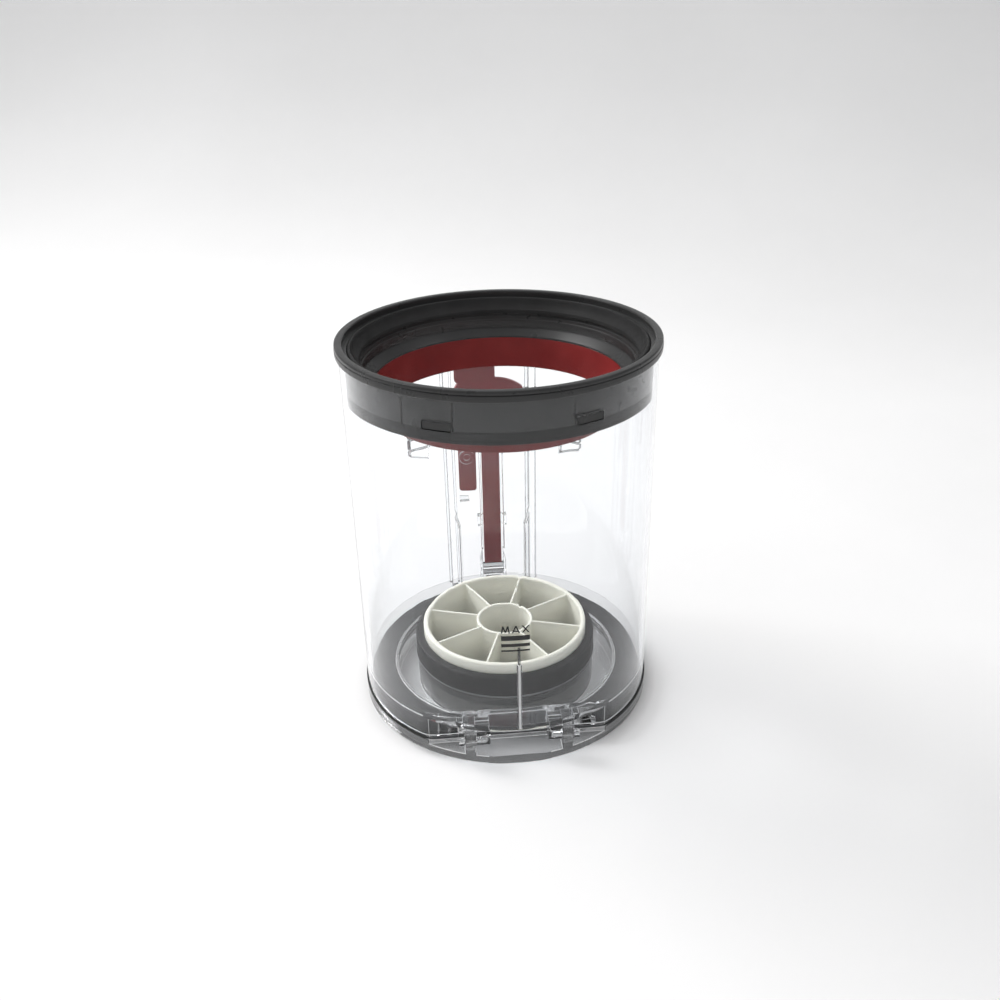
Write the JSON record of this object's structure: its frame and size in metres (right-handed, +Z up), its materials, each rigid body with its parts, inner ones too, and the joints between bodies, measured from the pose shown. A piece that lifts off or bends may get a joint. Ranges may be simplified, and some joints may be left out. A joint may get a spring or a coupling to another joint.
{
  "type": "cyclone dust bin",
  "caption": "Clear round dust bin with a sealed dark mouth ring, a red wiper collar, a hinged base door with a cream vane insert, and a red sliding release lever at the back.",
  "frame": {"origin": "centre of the base door's underside, on the tube's axis", "axes": "+Z up along the tube's axis, -Y towards the door's hinge, +Y towards the release lever"},
  "size_m": [0.118, 0.1287, 0.1496],
  "materials": {
    "clear_tube": "clear moulded plastic, polished",
    "smoky_door": "smoky clear moulded plastic, polished",
    "dark_ring": "dark grey moulded plastic, glossy",
    "black_rubber": "black rubber, matte",
    "grey_rubber": "mid grey rubber, matte",
    "red_silicone": "dark red silicone, satin",
    "red_plastic": "red moulded plastic, satin",
    "cream_plastic": "cream moulded plastic, satin",
    "steel": "bright steel pin and wire"
  },
  "bodies": {
    "bin": {"bin_tube": "clear_tube", "mouth_ring": "dark_ring", "mouth_lip_seal": "black_rubber", "ring_lower_seal": "black_rubber", "wiper_clamp_ring": "dark_ring", "shroud_wiper": "red_silicone", "rod_keeper": "clear_tube", "lever_spring": "steel", "hinge_pin_left": "steel", "hinge_pin_right": "steel"},
    "lever": {"release_lever": "red_plastic", "push_rod": "red_plastic"},
    "door": {"door_plate": "smoky_door", "door_rim_seal": "grey_rubber", "door_edge_seal": "black_rubber", "door_latch": "clear_tube", "dust_cup_sleeve": "grey_rubber", "vane_insert": "cream_plastic"}
  },
  "joints": [
    {"name": "door_hinge", "type": "hinge", "parent": "bin", "child": "door", "pos_m": [0, -0.053, 0.0104], "axis": [-1, 0, 0], "range_deg": [0, 95]},
    {"name": "lever_slide", "type": "slide", "parent": "bin", "child": "lever", "axis": [0, 0, -1], "range_m": [0, 0.003], "stiffness_N_per_m": 300, "springref_m": -0.004, "deforming": ["lever_spring"]}
  ]
}
